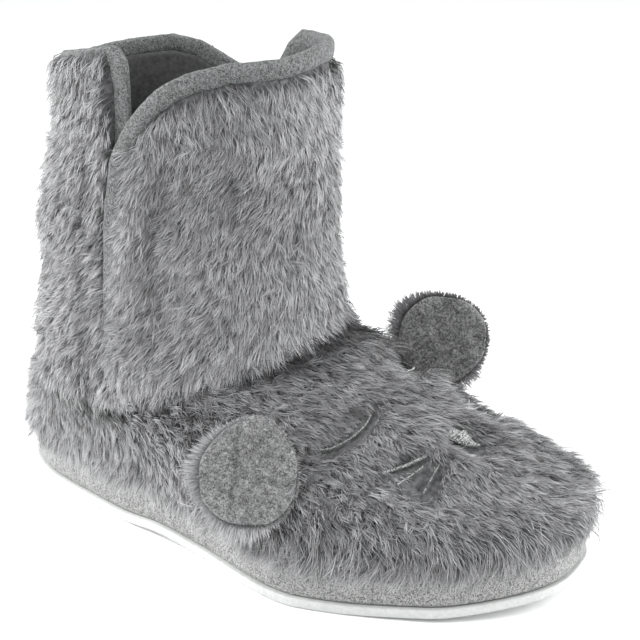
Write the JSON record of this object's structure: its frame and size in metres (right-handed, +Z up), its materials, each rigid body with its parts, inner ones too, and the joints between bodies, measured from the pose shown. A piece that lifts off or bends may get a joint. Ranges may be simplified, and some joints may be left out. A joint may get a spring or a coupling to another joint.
{
  "type": "bootie slipper",
  "caption": "Grey deep-pile house boot for the right foot with a lapped shaft panel, bound collar, round ears and a flat wrapped sole.",
  "frame": {"origin": "on the floor under the middle of the sole's length, in the flat of the forefoot", "axes": "+X towards the toe, +Z up, -Y towards the outer side of the right foot"},
  "size_m": [0.2661, 0.1343, 0.2004],
  "materials": {
    "outsole_rubber": "matt white moulded rubber",
    "suede": "brushed micro-suede",
    "lining": "short brushed fleece",
    "pile": "long tousled pile",
    "fleece": "curled short fleece"
  },
  "bodies": {
    "root": {"outsole": "outsole_rubber", "sidewall": "suede", "insole": "lining", "upper": "pile", "front_panel": "pile", "front_binding": "suede", "back_binding": "suede", "outer_ear_fleece": "fleece", "outer_ear_pile": "pile", "inner_ear_fleece": "fleece", "inner_ear_pile": "pile"}
  },
  "joints": []
}
